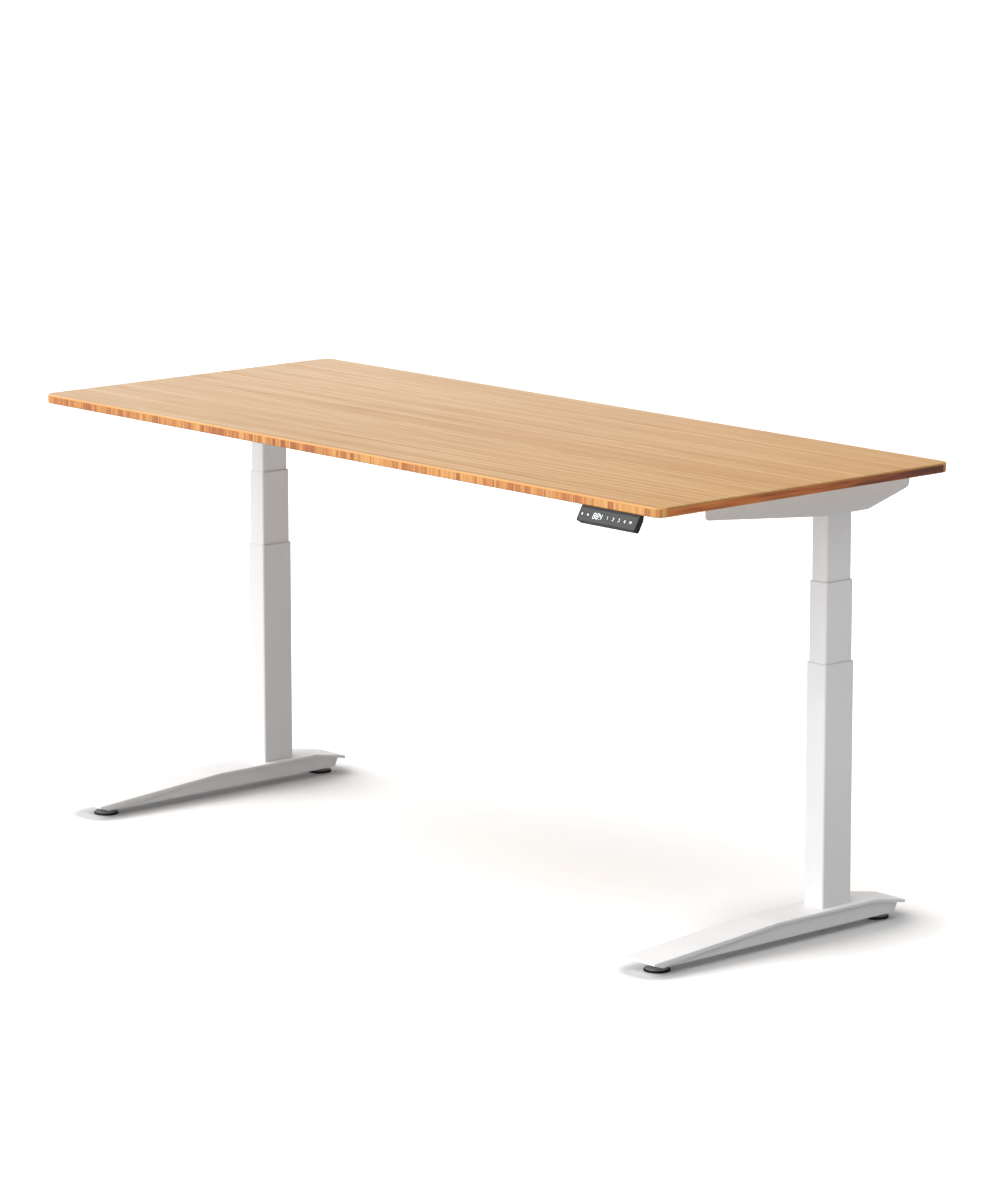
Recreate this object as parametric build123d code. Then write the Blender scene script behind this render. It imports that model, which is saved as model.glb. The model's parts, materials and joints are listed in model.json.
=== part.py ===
"""Height adjustable standing desk.

A rectangular worktop on a steel frame, carried by two three-stage lifting columns on long feet.
Millimetres. +X is the user's right, +Y the back of the desk, +Z up. The origin is on the floor under
the middle of the whole desk. The desk stands as it is used: its worktop 884 mm above the floor.
"""

import os
from math import cos, pi, radians, sin

from build123d import *

# ---------------------------------------------------------------- driving dimensions

# worktop
DESK_W = 1828.8
DESK_D = 762.0
DESK_T = 19.0
DESK_TOP = 884.0
DESK_CORNER = 22.0
DESK_ROUNDOVER = 3.0
UNDERSIDE = DESK_TOP - DESK_T

# the handset reaches past the worktop's front edge, which puts the worktop off the middle in Y
HANDSET_REACH = 14.5
DESK_Y = HANDSET_REACH / 2

# lifting columns: width in X, depth in Y
COLUMN_X = 831.4
COLUMN_Y = DESK_Y + 146.6
OUTER_W, OUTER_D = 51.0, 77.0
MIDDLE_W, MIDDLE_D = 46.0, 71.5
INNER_W, INNER_D = 41.0, 66.0
TUBE_WALL = 1.6
TUBE_CORNER = 4.0
BASE_PLATE_T = 6.0
OUTER_BOTTOM, OUTER_TOP = 50.0, 520.0
MIDDLE_BOTTOM, MIDDLE_TOP = 206.0, 676.0
INNER_BOTTOM, INNER_TOP = 372.0, 823.0

# feet, with Y measured from the column's axis
FOOT_HALF_W = 41.0
FOOT_FRONT, FOOT_TIP = -491.6, -466.6
FOOT_RISE_END = -171.6
FOOT_FALL_START, FOOT_REAR = 92.4, 171.4
FOOT_FRONT_Z, FOOT_LEVEL_Z, FOOT_REAR_Z = 27.0, OUTER_BOTTOM, 36.0
FOOT_BOTTOM = 15.0
FOOT_SHEET = 2.0
FOOT_FOLD_R = 1.5
FOOT_LIP = 4.0
FLANGE_DEPTH = 5.8
TIP_FLANGE_Z = 19.0
CHANNEL_WALL = 2.5
CHANNEL_INSET = 4.0
CHANNEL_CORNER = 5.0
CHANNEL_REAR_TOP, CHANNEL_REAR_BOTTOM = 155.4, 145.4
GLIDE_FRONT_Y, GLIDE_REAR_Y = -446.6, 133.4

# levelling glides
SOLE_R, SOLE_H = 25.0, 4.0
DISC_R = 22.5
GLIDE_HEXAGON_R = 8.0
GLIDE_STUD_R = 5.0
GLIDE_STUD_TOP = 26.5
GLIDE_NUT_R, GLIDE_NUT_TOP = 8.0, 25.0

# telescopic spindle of each column, all on the column's axis
UPPER_SPINDLE_R = 6.0
LOWER_SPINDLE_R = 10.0
SUPPORT_R, CARRIER_R = 14.0, 16.5
UPPER_SPINDLE_BOTTOM, UPPER_SPINDLE_TOP = 425.0, 852.0
LOWER_SPINDLE_BOTTOM, LOWER_SPINDLE_TOP = 270.0, 656.0
LOWER_NUT_BOTTOM, LOWER_NUT_TOP = 480.0, 510.0
CARRIER_SHOULDER, CARRIER_TOP = 640.0, 652.0
RUNNING_GAP = 0.05
BODY_GAP = 0.5

# worm drive on top of each column
HEAD_PLATE_T = 5.0
DRIVE_BOTTOM = INNER_TOP + HEAD_PLATE_T
DRIVE_TOP = UNDERSIDE - 3.0
WORM_WHEEL_R, WORM_WHEEL_H, WORM_TEETH = 17.0, 10.0, 24
WORM_OFFSET, WORM_Z = 21.0, 843.0
WORM_R = 3.7
MOTOR_R, MOTOR_LENGTH, MOTOR_WALL = 20.0, 85.0, 2.0
GEARBOX_INNER_X, GEARBOX_OUTER_X = 30.0, 20.0
GEARBOX_FRONT_Y, GEARBOX_REAR_Y = -22.0, 34.0
BEARING_R, BEARING_H = 14.0, 8.0

# frame under the worktop
BRACKET_PLATE = 2.5
BRACKET_FACE = 25.0
BRACKET_FLANGE_INNER = -28.0
BRACKET_FRONT, BRACKET_REAR = -353.6, 184.9
BRACKET_LEVEL_START, BRACKET_LEVEL_END, BRACKET_RISE_END = -46.0, 71.4, 181.0
BRACKET_FRONT_DROP, BRACKET_DROP, BRACKET_REAR_DROP = 31.5, 60.0, 29.0
BRACKET_SCREW_X = -8.0
BRACKET_SCREW_YS = (-330.0, -180.0, 105.0, 165.0)
RAIL_OFFSET = 62.0
RAIL_SCREW_XS = (-18.0, 10.0)
RAIL_LOCK_X = 400.0
END_RAIL_W, END_RAIL_WALL = 20.0, 2.0
CENTER_RAIL_W, CENTER_RAIL_WALL = 24.0, 1.8
CENTER_RAIL_HALF = 480.0
END_RAIL_INNER = 330.0

# control box on the underside of the worktop
BOX_X, BOX_Y = -180.0, DESK_Y - 5.0
BOX_W, BOX_D, BOX_H = 270.0, 90.0, 42.0
BOX_WALL, BOX_CORNER = 2.5, 6.0
BOX_SPLIT = UNDERSIDE - 22.0
BOX_EAR_YS = (-30.0, 30.0)
BOX_EAR_HALF_W, BOX_EAR_REACH, BOX_SCREW_REACH = 9.0, 17.0, 9.0
BOARD_Z = BOX_SPLIT + 6.0
BOARD_T = 1.6
SOCKET_Z = BOX_SPLIT - 10.0
# one row per socket: place along the box, width, half height
SOCKETS = (
    (-95.0, 28.0, 7.0),
    (-50.0, 14.0, 7.0),
    (-20.0, 14.0, 7.0),
    (35.0, 12.0, 6.0),
    (65.0, 12.0, 6.0),
)

# handset under the worktop's front edge
HANDSET_X = 788.0
HANDSET_W, HANDSET_FACE_H, HANDSET_FACE_T = 154.0, 29.4, 2.5
HANDSET_DEPTH = 12.0
HANDSET_RIM, HANDSET_CORNER = 2.0, 4.0
HANDSET_TILT = 29.5
HANDSET_SEAT_DEPTH = 5.0
HANDSET_NECK_W, HANDSET_FLANGE_W = 90.0, 140.0
HANDSET_NECK_REAR, HANDSET_FLANGE_REAR = 50.0, 81.0
HANDSET_SCREW_X, HANDSET_SCREW_Y = 60.0, 69.0
HANDSET_LEAD_R = 2.5
DISPLAY_W, DISPLAY_H, DISPLAY_PLACE = 28.0, 14.0, -26.3
KEY_R, KEY_TRAVEL = 4.5, 0.5
KEY_PITCH = 15.2
KEY_PLACES = {
    "key_up": -68.0,
    "key_down": -68.0 + KEY_PITCH,
    "key_one": -1.5,
    "key_two": -1.5 + KEY_PITCH,
    "key_three": -1.5 + 2 * KEY_PITCH,
    "key_four": -1.5 + 3 * KEY_PITCH,
    "key_memory": -1.5 + 4 * KEY_PITCH,
}

# fasteners
M6_R, M8_R = 3.0, 4.0
SCREW_CLEARANCE = 0.3
PAN_HEAD_R, PAN_HEAD_H, PAN_SHANK = 6.0, 3.0, 14.0
SINK_HEAD_R, SINK_HEAD_H, SINK_SHANK = 5.5, 2.5, 12.0
INSERT_R, INSERT_DEPTH = 5.0, 13.0
FOOT_BOLT_HEAD_R, FOOT_BOLT_HEAD_H = 6.5, 5.0
FOOT_BOLT_X, FOOT_BOLT_Y = 15.0, 25.0


# ---------------------------------------------------------------- shared shapes

def post(radius, bottom, top, x=0.0, y=0.0):
    """A round bar standing along Z."""
    return Pos(x, y, bottom) * Cylinder(radius, top - bottom, align=(Align.CENTER, Align.CENTER, Align.MIN))


def hexagon_bar(radius, bottom, top, x=0.0, y=0.0):
    """A hexagonal bar standing along Z."""
    return extrude(Plane.XY.offset(bottom) * Pos(x, y) * RegularPolygon(radius, 6), top - bottom)


def bar_x(radius, start, end, y=0.0, z=0.0):
    """A round bar lying along X."""
    return extrude(Plane.YZ.offset(start) * Pos(y, z) * Circle(radius), end - start)


def block(x0, x1, y0, y1, z0, z1):
    """A box between two corners."""
    return Pos(x0, y0, z0) * Box(x1 - x0, y1 - y0, z1 - z0, align=(Align.MIN, Align.MIN, Align.MIN))


def side_shape(points, half_width):
    """An outline in Y and Z, made as wide as twice half_width about X = 0."""
    face = make_face(Polyline(*points, close=True))
    return extrude(Plane.YZ.offset(-half_width) * face, 2 * half_width)


def rounded_tube(width, depth, bottom, top):
    """One stage of a lifting column: a rectangular steel tube with rounded corners."""
    outline = RectangleRounded(width, depth, TUBE_CORNER)
    hollow = RectangleRounded(width - 2 * TUBE_WALL, depth - 2 * TUBE_WALL, TUBE_CORNER - TUBE_WALL)
    return extrude(Plane.XY.offset(bottom) * (outline - hollow), top - bottom)


def tube_plug(width, depth, bottom, thick):
    """A plate that closes the inside of a column tube."""
    shrink = 2 * TUBE_WALL + 0.2
    outline = RectangleRounded(width - shrink, depth - shrink, TUBE_CORNER - TUBE_WALL)
    return extrude(Plane.XY.offset(bottom) * outline, thick)


def rail(width, height, wall, start, end, y, bottom):
    """A rectangular tube lying along X."""
    outer = block(start, end, y - width / 2, y + width / 2, bottom, bottom + height)
    inner_half = width / 2 - wall
    inner = block(start, end, y - inner_half, y + inner_half, bottom + wall, bottom + height - wall)
    return outer - inner


def pan_head_screw(x, y, seat):
    """An M6 pan-head screw pointing up, its head against the face at height seat."""
    head = post(PAN_HEAD_R, seat - PAN_HEAD_H, seat, x, y)
    crown = head.edges().group_by(Axis.Z)[0]
    return fillet(crown, PAN_HEAD_H / 2) + post(M6_R, seat, seat + PAN_SHANK, x, y)


def countersunk_cone(radius, x, y, face, up):
    """The cone of a countersunk head whose flat side is flush with the face, with the shank side beyond."""
    along = 1 if up else -1
    cone = Cone(radius, M6_R, SINK_HEAD_H)
    tilt = Rot(0, 0, 0) if up else Rot(180, 0, 0)
    return Pos(x, y, face + along * SINK_HEAD_H / 2) * tilt * cone


def countersunk_screw(x, y, face, up):
    """An M6 countersunk screw, its head flush with the face and its shank pointing up or down."""
    along = 1 if up else -1
    neck, end = face + along * SINK_HEAD_H, face + along * (SINK_HEAD_H + SINK_SHANK)
    return countersunk_cone(SINK_HEAD_R, x, y, face, up) + post(M6_R, min(neck, end), max(neck, end), x, y)


def joined(pieces):
    """Separate solids that share one node."""
    return Compound(children=[solid for piece in pieces for solid in piece.solids()])


def on_column(piece, side):
    """Places a piece that is made about the right column's axis; the left one is its mirror image."""
    placed = Pos(COLUMN_X, COLUMN_Y, 0) * piece
    return placed if side > 0 else mirror(placed, about=Plane.YZ)


# ---------------------------------------------------------------- feet and glides

def cover_line(y):
    """Height of the foot's top surface."""
    if y < FOOT_RISE_END:
        share = (y - FOOT_FRONT) / (FOOT_RISE_END - FOOT_FRONT)
        return FOOT_FRONT_Z + share * (FOOT_LEVEL_Z - FOOT_FRONT_Z)
    if y > FOOT_FALL_START:
        share = (y - FOOT_FALL_START) / (FOOT_REAR - FOOT_FALL_START)
        return FOOT_LEVEL_Z + share * (FOOT_REAR_Z - FOOT_LEVEL_Z)
    return FOOT_LEVEL_Z


def top_run(start, end, drop):
    """Points along the foot's top surface from start to end, lowered by drop."""
    bends = [y for y in (FOOT_RISE_END, FOOT_FALL_START) if start < y < end]
    return [(y, cover_line(y) - drop) for y in [start, *bends, end]]


def foot_bolt_places():
    return [(x, y) for x in (-FOOT_BOLT_X, FOOT_BOLT_X) for y in (-FOOT_BOLT_Y, FOOT_BOLT_Y)]


def foot_cover():
    """Folded sheet: a sloping top, a thin flange down each side and a return under the front edge."""
    lower = [
        (FOOT_REAR, FOOT_REAR_Z - FLANGE_DEPTH),
        (FOOT_FALL_START, FOOT_LEVEL_Z - FLANGE_DEPTH),
        (FOOT_RISE_END, FOOT_LEVEL_Z - FLANGE_DEPTH),
        (FOOT_TIP, TIP_FLANGE_Z),
        (FOOT_TIP, FOOT_BOTTOM),
        (FOOT_FRONT, FOOT_FRONT_Z - FOOT_LIP),
    ]
    outer = side_shape(top_run(FOOT_FRONT, FOOT_REAR, 0) + lower, FOOT_HALF_W)
    long_edges = outer.edges().filter_by(lambda e: abs(e.tangent_at(0.5).X) < 0.01 and e.center().Z > 30)
    top_edges = [e for e in long_edges if e.center().Z > cover_line(e.center().Y) - 0.5]
    outer = fillet(top_edges, FOOT_FOLD_R)
    hollow = [
        (FOOT_TIP + 1.0, FOOT_BOTTOM - 1.0),
        (FOOT_TIP + 1.0, FOOT_BOTTOM + FOOT_SHEET),
        *top_run(FOOT_FRONT + 4 * FOOT_SHEET, FOOT_REAR + 1.0, FOOT_SHEET),
        (FOOT_REAR + 1.0, FOOT_BOTTOM - 1.0),
    ]
    cover = outer - side_shape(hollow, FOOT_HALF_W - FOOT_SHEET)
    for x, y in foot_bolt_places():
        cover -= post(M8_R + SCREW_CLEARANCE, FOOT_LEVEL_Z - 5, FOOT_LEVEL_Z + 5, x, y)
    return cover


def foot_channel():
    """Steel channel under the cover, open upwards, tapering to the front and closed at the rear."""
    half = FOOT_HALF_W - CHANNEL_INSET
    clear = FOOT_SHEET + 0.1
    front = FOOT_TIP + 3.0
    outline = [
        (front, FOOT_BOTTOM),
        *top_run(front, CHANNEL_REAR_TOP, clear),
        (CHANNEL_REAR_BOTTOM, FOOT_BOTTOM),
    ]
    outer = side_shape(outline, half)
    rear_bottom = outer.edges().filter_by(Axis.X).sort_by(lambda e: e.center().Y - 4 * e.center().Z)[-1]
    outer = fillet(rear_bottom, CHANNEL_CORNER)
    hollow = [
        (front - 1.0, FOOT_BOTTOM + CHANNEL_WALL),
        (front - 1.0, FOOT_LEVEL_Z + 5),
        (CHANNEL_REAR_TOP - CHANNEL_WALL, FOOT_LEVEL_Z + 5),
        (CHANNEL_REAR_BOTTOM - CHANNEL_WALL, FOOT_BOTTOM + CHANNEL_WALL),
    ]
    channel = outer - side_shape(hollow, half - CHANNEL_WALL)
    for x, y in foot_bolt_places():
        channel -= post(FOOT_BOLT_HEAD_R + 1.5, FOOT_BOTTOM - 1, FOOT_BOTTOM + CHANNEL_WALL + 1, x, y)
    for y in (GLIDE_FRONT_Y, GLIDE_REAR_Y):
        channel -= post(GLIDE_STUD_R + SCREW_CLEARANCE, FOOT_BOTTOM - 1, FOOT_BOTTOM + CHANNEL_WALL + 1, 0, y)
    return channel


def foot_bolt(x, y):
    """M8 bolt, its head under the foot's cover and its shank up into the column's base plate."""
    seat = FOOT_LEVEL_Z - FOOT_SHEET
    head = hexagon_bar(FOOT_BOLT_HEAD_R, seat - FOOT_BOLT_HEAD_H, seat, x, y)
    return head + post(M8_R, seat, FOOT_LEVEL_Z + BASE_PLATE_T, x, y)


def glide_nut(y):
    """Rivet nut in the foot's channel that a glide screws into."""
    bottom = FOOT_BOTTOM + CHANNEL_WALL
    return post(GLIDE_NUT_R, bottom, GLIDE_NUT_TOP, 0, y) - post(
        GLIDE_STUD_R + RUNNING_GAP, bottom - 1, GLIDE_NUT_TOP + 1, 0, y)


def glide_sole():
    """Black sole that stays put on the floor while the stud turns in it."""
    sole = post(SOLE_R, 0, SOLE_H)
    sole = fillet(sole.edges().group_by(Axis.Z)[-1], 1.2)
    return sole - post(GLIDE_STUD_R + 1, 1.5, SOLE_H + 1)


def glide_stud():
    """Domed steel disc with a hexagon and a threaded stud, turned by hand or wrench."""
    rim, shoulder, hexagon_bottom = SOLE_H + 0.3, SOLE_H + 1.8, SOLE_H + 5.0
    half = [
        (0, 1.8), (GLIDE_STUD_R + 0.7, 1.8), (GLIDE_STUD_R + 0.7, rim), (DISC_R, rim), (DISC_R, shoulder),
        (9.5, hexagon_bottom), (0, hexagon_bottom),
    ]
    disc = revolve(Plane.XZ * make_face(Polyline(*half, close=True)), Axis.Z)
    hexagon = hexagon_bar(GLIDE_HEXAGON_R, hexagon_bottom, FOOT_BOTTOM - 0.3)
    return disc + hexagon + post(GLIDE_STUD_R, hexagon_bottom, GLIDE_STUD_TOP)


# ---------------------------------------------------------------- columns and spindles

def column_tubes():
    """The three stages of a column, one inside the other."""
    return {
        "outer": rounded_tube(OUTER_W, OUTER_D, OUTER_BOTTOM, OUTER_TOP),
        "middle": rounded_tube(MIDDLE_W, MIDDLE_D, MIDDLE_BOTTOM, MIDDLE_TOP),
        "inner": rounded_tube(INNER_W, INNER_D, INNER_BOTTOM, INNER_TOP),
    }


def base_plate():
    """Plate welded into the foot of the outer tube, tapped for the foot bolts."""
    plate = tube_plug(OUTER_W, OUTER_D, OUTER_BOTTOM, BASE_PLATE_T)
    for x, y in foot_bolt_places():
        plate -= post(M8_R + 0.1, OUTER_BOTTOM - 1, OUTER_BOTTOM + BASE_PLATE_T + 1, x, y)
    return plate


def spindle_support():
    """Tube fixed to the base plate; its top end is the nut that the lower spindle turns in."""
    bottom = OUTER_BOTTOM + BASE_PLATE_T
    tube = post(SUPPORT_R, bottom, LOWER_NUT_TOP)
    tube -= post(SUPPORT_R - 2.5, bottom - 1, LOWER_NUT_BOTTOM)
    return tube - post(LOWER_SPINDLE_R + RUNNING_GAP, LOWER_NUT_BOTTOM - 1, LOWER_NUT_TOP + 1)


def spindle_carrier():
    """Plate in the foot of the middle tube with a tube that carries the lower spindle's bearing."""
    plate = tube_plug(MIDDLE_W, MIDDLE_D, MIDDLE_BOTTOM, 5.0)
    body = plate + post(CARRIER_R, MIDDLE_BOTTOM, CARRIER_TOP)
    body -= post(SUPPORT_R + BODY_GAP, MIDDLE_BOTTOM - 1, CARRIER_SHOULDER)
    return body - post(LOWER_SPINDLE_R + RUNNING_GAP, CARRIER_SHOULDER - 1, CARRIER_TOP + 1)


def lower_spindle():
    """Hollow lead screw that hangs in the carrier; its head is the nut for the upper spindle."""
    spindle = post(LOWER_SPINDLE_R, LOWER_SPINDLE_BOTTOM, LOWER_SPINDLE_TOP)
    spindle += post(SUPPORT_R, CARRIER_TOP + 0.1, LOWER_SPINDLE_TOP)
    nut_bottom = LOWER_SPINDLE_TOP - 24.0
    spindle -= post(UPPER_SPINDLE_R + BODY_GAP, LOWER_SPINDLE_BOTTOM - 1, nut_bottom)
    return spindle - post(UPPER_SPINDLE_R + RUNNING_GAP, nut_bottom - 1, LOWER_SPINDLE_TOP + 1)


def upper_spindle():
    """Solid lead screw turned by the worm wheel."""
    return post(UPPER_SPINDLE_R, UPPER_SPINDLE_BOTTOM, UPPER_SPINDLE_TOP)


def column_guides():
    """Eight thin plastic sliders on the middle tube: inside its top end and outside its bottom end."""
    side_t, end_t, height = 0.75, 0.95, 60.0
    side_y, end_x = 40.0, 24.0
    inner_x, inner_y = MIDDLE_W / 2 - TUBE_WALL, MIDDLE_D / 2 - TUBE_WALL
    outer_x, outer_y = MIDDLE_W / 2, MIDDLE_D / 2
    top, bottom = MIDDLE_TOP - 6.0, MIDDLE_BOTTOM + 6.0
    pads = []
    for sign in (-1, 1):
        for face, thick, z in ((inner_x - side_t, side_t, top - height), (outer_x, side_t, bottom)):
            x0, x1 = sorted((sign * face, sign * (face + thick)))
            pads.append(block(x0, x1, -side_y / 2, side_y / 2, z, z + height))
        for face, thick, z in ((inner_y - end_t, end_t, top - height), (outer_y, end_t, bottom)):
            y0, y1 = sorted((sign * face, sign * (face + thick)))
            pads.append(block(-end_x / 2, end_x / 2, y0, y1, z, z + height))
    return pads


# ---------------------------------------------------------------- worm drives

def head_plate():
    """Plate welded on top of the inner tube; the frame's end rails stand on it."""
    reach = RAIL_OFFSET + END_RAIL_W / 2
    plate = block(-GEARBOX_INNER_X, BRACKET_FACE - BRACKET_PLATE, -reach, reach, INNER_TOP, DRIVE_BOTTOM)
    plate -= post(UPPER_SPINDLE_R + 1, INNER_TOP - 1, DRIVE_BOTTOM + 1)
    for x, y in rail_screw_places():
        plate -= countersunk_cone(SINK_HEAD_R + 0.1, x, y, INNER_TOP, True)
        plate -= post(M6_R + 0.1, INNER_TOP, DRIVE_BOTTOM + 1, x, y)
    return plate


def gearbox_housing():
    """Cast housing around the worm wheel and the worm, with the spindle's bearing in its floor."""
    housing = block(-GEARBOX_INNER_X, GEARBOX_OUTER_X, GEARBOX_FRONT_Y, GEARBOX_REAR_Y,
                    DRIVE_BOTTOM, DRIVE_TOP)
    housing = fillet(housing.edges().filter_by(Axis.Z), 4.0)
    bearing_top = DRIVE_BOTTOM + 1.0 + BEARING_H
    housing -= post(UPPER_SPINDLE_R + 1, DRIVE_BOTTOM - 1, DRIVE_TOP - 4)
    housing -= post(BEARING_R + 0.05, DRIVE_BOTTOM + 1.0, bearing_top)
    housing -= post(WORM_WHEEL_R + 1, bearing_top, WORM_Z + WORM_WHEEL_H / 2 + 1)
    worm_end = GEARBOX_OUTER_X - 4
    return housing - bar_x(WORM_R + 2, -GEARBOX_INNER_X - 1, worm_end, WORM_OFFSET, WORM_Z)


def spindle_bearing():
    bottom = DRIVE_BOTTOM + 1.0
    ring = post(BEARING_R, bottom, bottom + BEARING_H)
    return ring - post(UPPER_SPINDLE_R + RUNNING_GAP, bottom - 1, bottom + BEARING_H + 1)


def worm_wheel():
    """Moulded worm wheel on the upper spindle."""
    bottom, top = WORM_Z - WORM_WHEEL_H / 2, WORM_Z + WORM_WHEEL_H / 2
    wheel = post(WORM_WHEEL_R, bottom, top) - post(UPPER_SPINDLE_R + 0.02, bottom - 1, top + 1)
    gap = pi * WORM_WHEEL_R / WORM_TEETH
    slot = block(WORM_WHEEL_R - 1.8, WORM_WHEEL_R + 1, -gap / 2, gap / 2, bottom - 1, top + 1)
    for tooth in range(WORM_TEETH):
        wheel -= Rot(0, 0, tooth * 360 / WORM_TEETH) * slot
    return wheel


def motor_can():
    """Steel case of the motor, open towards the gearbox."""
    near, far = -GEARBOX_INNER_X, -GEARBOX_INNER_X - MOTOR_LENGTH
    can = bar_x(MOTOR_R, far, near, WORM_OFFSET, WORM_Z)
    can = fillet(can.edges().sort_by(Axis.X)[0], 2.0)
    can -= bar_x(MOTOR_R - MOTOR_WALL, far + MOTOR_WALL, near + 1, WORM_OFFSET, WORM_Z)
    return can - bar_x(WORM_R - 0.7 + RUNNING_GAP, far - 1, near, WORM_OFFSET, WORM_Z)


def motor_shaft():
    """Armature, motor shaft and worm on one axis, turning together."""
    far = -GEARBOX_INNER_X - MOTOR_LENGTH
    shaft = bar_x(WORM_R - 0.7, far - 2, GEARBOX_OUTER_X - 5, WORM_OFFSET, WORM_Z)
    worm = bar_x(WORM_R, -16.0, GEARBOX_OUTER_X - 7, WORM_OFFSET, WORM_Z)
    armature = bar_x(11.0, far + 20, far + 55, WORM_OFFSET, WORM_Z)
    return shaft + worm + armature


def motor_cover():
    """Moulded trough around the motor, open at the top and towards the gearbox."""
    near, far = -GEARBOX_INNER_X - 0.5, -GEARBOX_INNER_X - MOTOR_LENGTH - 6
    half, wall, top = MOTOR_R + 3.0, 2.0, UNDERSIDE - 1
    bottom = WORM_Z - MOTOR_R - 4.0
    cover = block(far, near, WORM_OFFSET - half, WORM_OFFSET + half, bottom, top)
    lower = cover.edges().filter_by(Axis.X).group_by(Axis.Z)[0]
    cover = fillet(lower, 6.0)
    room = half - wall
    hollow = block(far + wall, near + 1, WORM_OFFSET - room, WORM_OFFSET + room, bottom + wall, top + 1)
    hollow = fillet(hollow.edges().filter_by(Axis.X).group_by(Axis.Z)[0], 4.0)
    return cover - hollow


# ---------------------------------------------------------------- frame

def rail_screw_places():
    return [(x, y) for x in RAIL_SCREW_XS for y in (-RAIL_OFFSET, RAIL_OFFSET)]


def bracket_outline():
    """Side of the bracket, Y from the column's axis: low at the column, rising to the rear end."""
    return [
        (BRACKET_FRONT, UNDERSIDE),
        (BRACKET_FRONT, UNDERSIDE - BRACKET_FRONT_DROP),
        (BRACKET_LEVEL_START, UNDERSIDE - BRACKET_DROP),
        (BRACKET_LEVEL_END, UNDERSIDE - BRACKET_DROP),
        (BRACKET_RISE_END, UNDERSIDE - BRACKET_REAR_DROP),
        (BRACKET_REAR, UNDERSIDE),
    ]


def side_bracket():
    """Folded sheet: a tall plate outside the column and a flange screwed under the worktop."""
    face = make_face(Polyline(*bracket_outline(), close=True))
    plate = extrude(Plane.YZ.offset(BRACKET_FACE - BRACKET_PLATE) * face, BRACKET_PLATE)
    front_bottom = plate.edges().filter_by(Axis.X).group_by(Axis.Y)[0].sort_by(Axis.Z)[0]
    plate = fillet(front_bottom, 7.0)
    rear_bottom = plate.edges().filter_by(Axis.X).sort_by(lambda e: abs(e.center().Y - BRACKET_RISE_END))[0]
    plate = fillet(rear_bottom, 12.0)
    flange = block(BRACKET_FLANGE_INNER, BRACKET_FACE, BRACKET_FRONT, BRACKET_REAR, DRIVE_TOP, UNDERSIDE)
    inner_corners = flange.edges().filter_by(Axis.Z).group_by(Axis.X)[0]
    bracket = plate + fillet(inner_corners, 12.0)
    fold = bracket.edges().filter_by(Axis.Y).group_by(Axis.X)[-1].sort_by(Axis.Z)[-1]
    bracket = fillet(fold, 2.0)
    for x, y in rail_screw_places():
        bracket -= countersunk_cone(SINK_HEAD_R + 0.1, x, y, UNDERSIDE, False)
        bracket -= post(M6_R + 0.1, DRIVE_TOP - 1, UNDERSIDE, x, y)
    for x, y in bracket_screw_places():
        bracket -= post(M6_R + SCREW_CLEARANCE, DRIVE_TOP - 1, UNDERSIDE + 1, x, y)
    return bracket


def bracket_screw_places():
    """Where each bracket is screwed to the worktop, from the column's axis."""
    return [(BRACKET_SCREW_X, y) for y in BRACKET_SCREW_YS]


def end_rail(y):
    """Rail fixed to one column's head plate; it slides in a centre rail when the frame is set up."""
    outer_end = BRACKET_FACE - BRACKET_PLATE
    inner_end = END_RAIL_INNER - COLUMN_X
    beam = rail(END_RAIL_W, DRIVE_TOP - DRIVE_BOTTOM, END_RAIL_WALL, inner_end, outer_end, y, DRIVE_BOTTOM)
    for x in RAIL_SCREW_XS:
        beam -= post(M6_R + 0.1, DRIVE_BOTTOM - 1, DRIVE_TOP + 1, x, y)
    lock = RAIL_LOCK_X - COLUMN_X
    return beam - post(M6_R + 0.1, DRIVE_BOTTOM - 1, DRIVE_BOTTOM + END_RAIL_WALL + 1, lock, y)


def center_rail(y):
    """Centre rail that sleeves the end rails of both columns."""
    height = DRIVE_TOP - DRIVE_BOTTOM + 4.0
    beam = rail(CENTER_RAIL_W, height, CENTER_RAIL_WALL, -CENTER_RAIL_HALF, CENTER_RAIL_HALF, y,
                DRIVE_BOTTOM - 2)
    for x in (-RAIL_LOCK_X, RAIL_LOCK_X):
        beam -= post(M6_R + 0.1, DRIVE_BOTTOM - 3, DRIVE_BOTTOM, x, y)
    return beam


# ---------------------------------------------------------------- worktop and its fasteners

def bracket_screws_on_desk():
    return [(side * (COLUMN_X + x), COLUMN_Y + y) for side in (-1, 1) for x, y in bracket_screw_places()]


def handset_screws_on_desk():
    y = DESK_Y - DESK_D / 2 + HANDSET_SCREW_Y
    return [(HANDSET_X + x, y) for x in (-HANDSET_SCREW_X, HANDSET_SCREW_X)]


def box_screws_on_desk():
    reach = BOX_W / 2 + BOX_SCREW_REACH
    return [(BOX_X + x, BOX_Y + y) for x in (-reach, reach) for y in BOX_EAR_YS]


def desk_screw_places():
    return bracket_screws_on_desk() + handset_screws_on_desk() + box_screws_on_desk()


def desktop():
    """Laminated bamboo board with rounded corners and eased edges, bored for the threaded inserts."""
    outline = Pos(0, DESK_Y) * RectangleRounded(DESK_W, DESK_D, DESK_CORNER)
    board = extrude(Plane.XY.offset(UNDERSIDE) * outline, DESK_T)
    rims = board.edges().group_by(Axis.Z)
    board = fillet(rims[0] + rims[-1], DESK_ROUNDOVER)
    for x, y in desk_screw_places():
        board -= post(INSERT_R + 0.1, UNDERSIDE - 1, UNDERSIDE + INSERT_DEPTH + 0.5, x, y)
    return board


def desktop_insert(x, y):
    return post(INSERT_R, UNDERSIDE, UNDERSIDE + INSERT_DEPTH, x, y) - post(
        M6_R + 0.1, UNDERSIDE - 1, UNDERSIDE + INSERT_DEPTH + 1, x, y)


# ---------------------------------------------------------------- control box

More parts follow.
